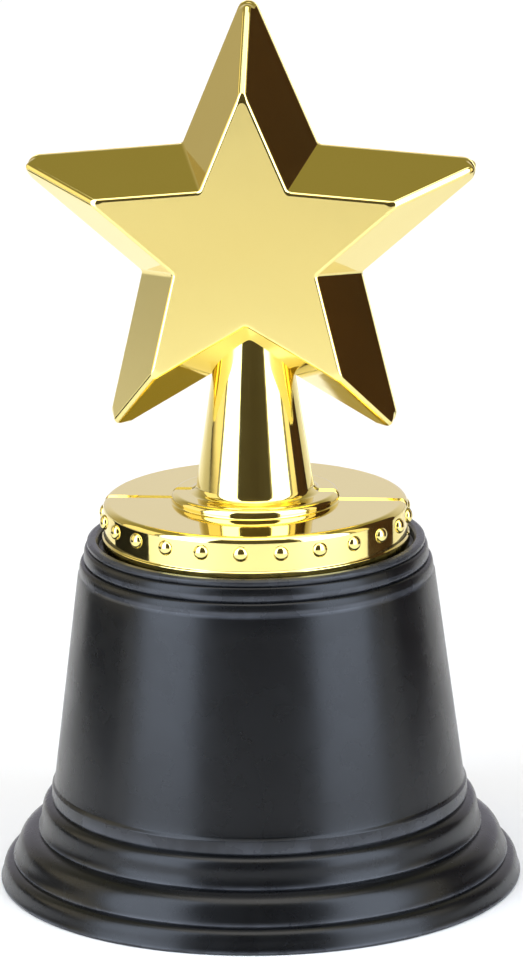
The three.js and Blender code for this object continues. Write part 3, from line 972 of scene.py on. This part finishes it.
class TROPHY_OT_fixing(bpy.types.Operator):
    """Builds the screw, the captive nut, the washer and the steel ballast"""
    bl_idname = "trophy.fixing"
    bl_label = "Fixing and ballast"

    def execute(self, context):
        look = context.scene.trophy_finishes
        # Bright zinc plate: cool, slightly clouded and smooth over fine turning lines.
        zinc = plated_steel("bright_zinc_plated_steel", tuple(look.zinc), 1.2, 0.34)
        # Plain cold-rolled steel: greyer, with clearer rolling lines.
        rolled = plated_steel("cold_rolled_steel", tuple(look.steel), 2.5, 0.5)
        turns = [(k + 0.5) * math.pi / 3 for k in range(6)]
        sides = [(math.cos(turn), math.sin(turn), 0) for turn in turns]
        finished(threaded_screw(), "machine_screw", zinc, "zinc_steel", "fixing_bolt", flats=LEVEL)
        finished(chamfered_nut(), "hexagon_nut", zinc, "zinc_steel", "captive_nut", flats=LEVEL + sides)
        finished(punched_ring("flat_washer", 0.12, 64), "plain_washer", zinc, "zinc_steel",
                 "flat_washer", flats=LEVEL)
        finished(punched_ring("ballast_disc", 0.25, 128), "steel_ballast", rolled, "ballast_steel",
                 "ballast_disc", flats=LEVEL)
        return {"FINISHED"}


# ---------------------------------------------------------------- the stage

def on_compass(azimuth, distance, height):
    """A point round the trophy. Azimuth 0 is straight in front and positive towards the right."""
    angle = math.radians(azimuth)
    return Vector((distance * math.sin(angle), -distance * math.cos(angle), height))


def stage_card(name, corners, material):
    """A card that lights or shades the trophy but isn't seen by the camera."""
    mesh = bpy.data.meshes.new(name)
    mesh.from_pydata(corners, [], [(0, 1, 2, 3)])
    uv = mesh.uv_layers.new(name="UVMap")
    for loop, place in zip(uv.data, ((0, 0), (0, 1), (1, 1), (1, 0))):
        loop.uv = place
    mesh.materials.append(material)
    card = linked(name, mesh)
    card.visible_camera = False
    return card


def standing_card(name, azimuth, distance, width, bottom, top, material):
    """An upright card facing the trophy."""
    middle = on_compass(azimuth, distance, 0)
    along = Vector((0, 0, 1)).cross(middle.normalized()) * width / 2
    low, high = Vector((0, 0, bottom)), Vector((0, 0, top))
    return stage_card(name, [middle - along + low, middle - along + high,
                             middle + along + high, middle + along + low], material)


def overhead_card(name, middle, width, depth, material):
    """A level card above the trophy, facing down."""
    x, y, z = middle
    sides = ((-1, -1), (-1, 1), (1, 1), (1, -1))
    return stage_card(name, [(x + i * width / 2, y + j * depth / 2, z) for i, j in sides], material)


def glowing_card(name, strength, soft, tone):
    """Diffused light panel: even in the middle and falling off towards its edges."""
    material = bpy.data.materials.new(name)
    tree = empty_tree(material)
    place = add(tree, "ShaderNodeTexCoord").outputs["UV"]
    parts = add(tree, "ShaderNodeSeparateXYZ", links={"Vector": place})
    edges = []
    for axis, reach in zip(("X", "Y"), soft):
        fold = add(tree, "ShaderNodeMath", {"operation": "PINGPONG"}, {1: 0.5}, {0: parts.outputs[axis]})
        edge = add(tree, "ShaderNodeMapRange", {"interpolation_type": "SMOOTHSTEP"},
                   {"From Min": 0, "From Max": reach}, {"Value": fold.outputs["Value"]})
        edges.append(edge.outputs["Result"])
    both = add(tree, "ShaderNodeMath", {"operation": "MULTIPLY"}, links={0: edges[0], 1: edges[1]})
    power = add(tree, "ShaderNodeMath", {"operation": "MULTIPLY"}, {1: strength}, {0: both.outputs["Value"]})
    glow = add(tree, "ShaderNodeEmission", {}, {"Color": (*tone, 1)}, {"Strength": power.outputs["Value"]})
    add(tree, "ShaderNodeOutputMaterial", links={"Surface": glow.outputs["Emission"]})
    return material


def dark_card(name, low, high):
    """Matt flocked card that keeps light out of one side, in two tones that cloud into each other."""
    material, tree, place, shader = start_material(name)
    fibre = add(tree, "ShaderNodeTexNoise", inputs={"Scale": per_metre(40), "Detail": 3},
                links={"Vector": place})
    tint = add(tree, "ShaderNodeMix", {"data_type": "RGBA"},
               {"A": (*linear(low), 1), "B": (*linear(high), 1)}, {"Factor": fibre.outputs["Fac"]})
    wire(tree, shader, {"Base Color": tint.outputs["Result"]})
    shader.inputs["Roughness"].default_value = 1
    return material


def studio_floor():
    """Pale matt laminate with a barely visible cloudiness."""
    look = bpy.context.scene.trophy_finishes
    material, tree, place, shader = start_material("pale_matt_laminate")
    cloud = add(tree, "ShaderNodeTexNoise", inputs={"Scale": per_metre(180)}, links={"Vector": place})
    tint = add(tree, "ShaderNodeMix", {"data_type": "RGBA"},
               {"A": (*look.floor, 1), "B": (*linear("efeeec"), 1)}, {"Factor": cloud.outputs["Fac"]})
    wire(tree, shader, {"Base Color": tint.outputs["Result"]})
    shader.inputs["Roughness"].default_value = 0.9
    return material


def dim_room(settings):
    """The room round the stage: a dim warm ceiling, and brighter low down, most of all at the back."""
    world = bpy.data.worlds.new("Studio room")
    bpy.context.scene.world = world
    tree = empty_tree(world)
    way = add(tree, "ShaderNodeTexCoord").outputs["Generated"]
    parts = add(tree, "ShaderNodeSeparateXYZ", links={"Vector": way})
    back = add(tree, "ShaderNodeMapRange", {"interpolation_type": "SMOOTHSTEP"},
               {"From Min": 0.5, "From Max": 0.95, "To Min": 0, "To Max": 1}, {"Value": parts.outputs["Y"]})
    height = add(tree, "ShaderNodeMapRange", {"interpolation_type": "SMOOTHSTEP"},
                 {"From Min": 0.3, "From Max": 0.75, "To Min": 0, "To Max": 1}, {"Value": parts.outputs["Z"]})
    low = add(tree, "ShaderNodeMix", {"data_type": "RGBA"},
              {"A": (*settings.side_wall, 1), "B": (*settings.back_wall, 1)},
              {"Factor": back.outputs["Result"]})
    room = add(tree, "ShaderNodeMix", {"data_type": "RGBA"}, {"B": (*settings.ceiling, 1)},
               {"Factor": height.outputs["Result"], "A": low.outputs["Result"]})
    seen = add(tree, "ShaderNodeLightPath").outputs["Is Camera Ray"]
    plain = add(tree, "ShaderNodeMix", {"data_type": "RGBA"}, {"B": (0.95, 0.95, 0.945, 1)},
                {"Factor": seen, "A": room.outputs["Result"]})
    sky = add(tree, "ShaderNodeBackground", links={"Color": plain.outputs["Result"]})
    add(tree, "ShaderNodeOutputWorld", links={"Surface": sky.outputs["Background"]})


def studio_camera(settings):
    """Long lens a little to the right of the front, looking slightly down."""
    azimuth, distance, height = 5.775, 0.8267, 0.2739
    pitch, yaw, roll = math.radians(14.8), math.radians(-0.06), math.radians(0.826)
    data = bpy.data.cameras.new("Studio camera")
    data.lens = mm(settings.focal_length)
    data.sensor_width = 36
    data.clip_start, data.clip_end = 0.05, 50
    camera = linked("Studio camera", data)
    heading = math.radians(azimuth) + yaw
    ahead = Vector((-math.sin(heading), math.cos(heading), 0))
    forward = ahead * math.cos(pitch) - Vector((0, 0, math.sin(pitch)))
    right = Vector((math.cos(heading), math.sin(heading), 0))
    up = right.cross(forward)
    across = right * math.cos(roll) - up * math.sin(roll)
    upwards = up * math.cos(roll) + right * math.sin(roll)
    turn = Matrix((across, upwards, -forward)).transposed()
    camera.matrix_world = Matrix.Translation(on_compass(azimuth, distance, height)) @ turn.to_4x4()
    bpy.context.scene.camera = camera


class TROPHY_OT_stage(bpy.types.Operator):
    """Sets the pale floor, the soft studio light and the camera"""
    bl_idname = "trophy.stage"
    bl_label = "Stage"

    def execute(self, context):
        settings = context.scene.trophy_studio
        steps, wide = 64, 6
        mesh = bpy.data.meshes.new("studio_floor")
        mesh.from_pydata(level_ring(wide, 0, steps), [], [tuple(range(steps))])
        mesh.materials.append(studio_floor())
        linked("studio_floor", mesh)
        cool = glowing_card("cool_diffused_panel", settings.panel_strength, (0.1, 0.16), (0.84, 0.95, 1.14))
        warm = glowing_card("warm_diffused_panel", settings.top_strength, (0.1, 0.1), (1.03, 1, 0.94))
        flank = glowing_card("gold_diffused_panel", settings.flank_strength, (0.06, 0.06), (1, 0.88, 0.6))
        wash = glowing_card("wash_diffused_panel", settings.wash_strength, (0.1, 0.1), (1, 1, 1.03))
        black = dark_card("black_flocked_card", "0c0b0a", "161412")
        brown = dark_card("brown_flocked_card", "4a2a08", "140f06")
        grey = dark_card("grey_flocked_card", "504a3a", "3e3625")
        haze = glowing_card("haze_diffused_panel", settings.haze_strength, (0.1, 0.1), (1, 1, 1))
        # azimuth, distance, width, bottom and top of each upright card
        for name, *place, material in (
                ("left_light_panel", -48.5, 0.30, 0.23, -0.12, 0.56, cool),
                ("right_light_panel", 58, 0.30, 0.225, -0.12, 0.56, cool),
                ("left_flank_card", -91, 0.36, 0.25, 0.03, 0.33, flank),
                ("right_flank_card", 89, 0.29, 0.07, 0.03, 0.33, flank),
                ("left_low_card", -100, 0.16, 0.13, 0.001, 0.03, black),
                ("right_tall_card", 110.5, 0.17, 0.10, 0.001, 0.22, brown),
                ("front_dark_card", 4, 0.66, 0.82, 0.001, 0.8, grey)):
            standing_card(name, *place, material)
        overhead_card("top_light_panel", (0, -0.2, 1.0), 1.1, 0.8, warm)
        # the washes light the floor and aren't mirrored in the gold
        for name, middle, width, depth, material in (
                ("ceiling_wash_panel", (0, 0, 2.4), 8, 8, haze),
                ("back_wash_panel", (-0.05, 0.58, 0.28), 0.34, 0.64, wash),
                ("front_wash_panel", (-0.05, -0.55, 0.28), 0.34, 0.2, wash)):
            overhead_card(name, middle, width, depth, material).visible_glossy = False
        dim_room(settings)
        studio_camera(settings)
        context.scene.view_settings.view_transform = "Standard"
        return {"FINISHED"}


# ---------------------------------------------------------------- panel and registration

class TROPHY_PT_builder(bpy.types.Panel):
    """Lists the trophy's sizes, finishes and building steps"""
    bl_idname = "TROPHY_PT_builder"
    bl_label = "Star trophy"
    bl_space_type = "VIEW_3D"
    bl_region_type = "UI"
    bl_category = "Trophy"

    def draw(self, context):
        layout = self.layout
        for operator in OPERATORS:
            layout.operator(operator.bl_idname)
        for holder in SETTINGS:
            box = layout.box()
            group = getattr(context.scene, holder)
            for key in SETTINGS[holder].__annotations__:
                box.prop(group, key)


OPERATORS = (TROPHY_OT_topper, TROPHY_OT_base, TROPHY_OT_cover, TROPHY_OT_fixing, TROPHY_OT_stage)
SETTINGS = {
    "trophy_topper": TopperSizes,
    "trophy_base": BaseSizes,
    "trophy_finishes": Finishes,
    "trophy_studio": StudioSettings,
}


def register():
    for holder, group in SETTINGS.items():
        bpy.utils.register_class(group)
        setattr(bpy.types.Scene, holder, PointerProperty(type=group))
    for made in (*OPERATORS, TROPHY_PT_builder):
        bpy.utils.register_class(made)


def unregister():
    for made in (TROPHY_PT_builder, *reversed(OPERATORS)):
        bpy.utils.unregister_class(made)
    for holder, group in SETTINGS.items():
        delattr(bpy.types.Scene, holder)
        bpy.utils.unregister_class(group)


def main():
    register()
    bpy.ops.trophy.topper()
    bpy.ops.trophy.base()
    bpy.ops.trophy.cover()
    bpy.ops.trophy.fixing()
    bpy.ops.trophy.stage()


if __name__ == "__main__":
    main()
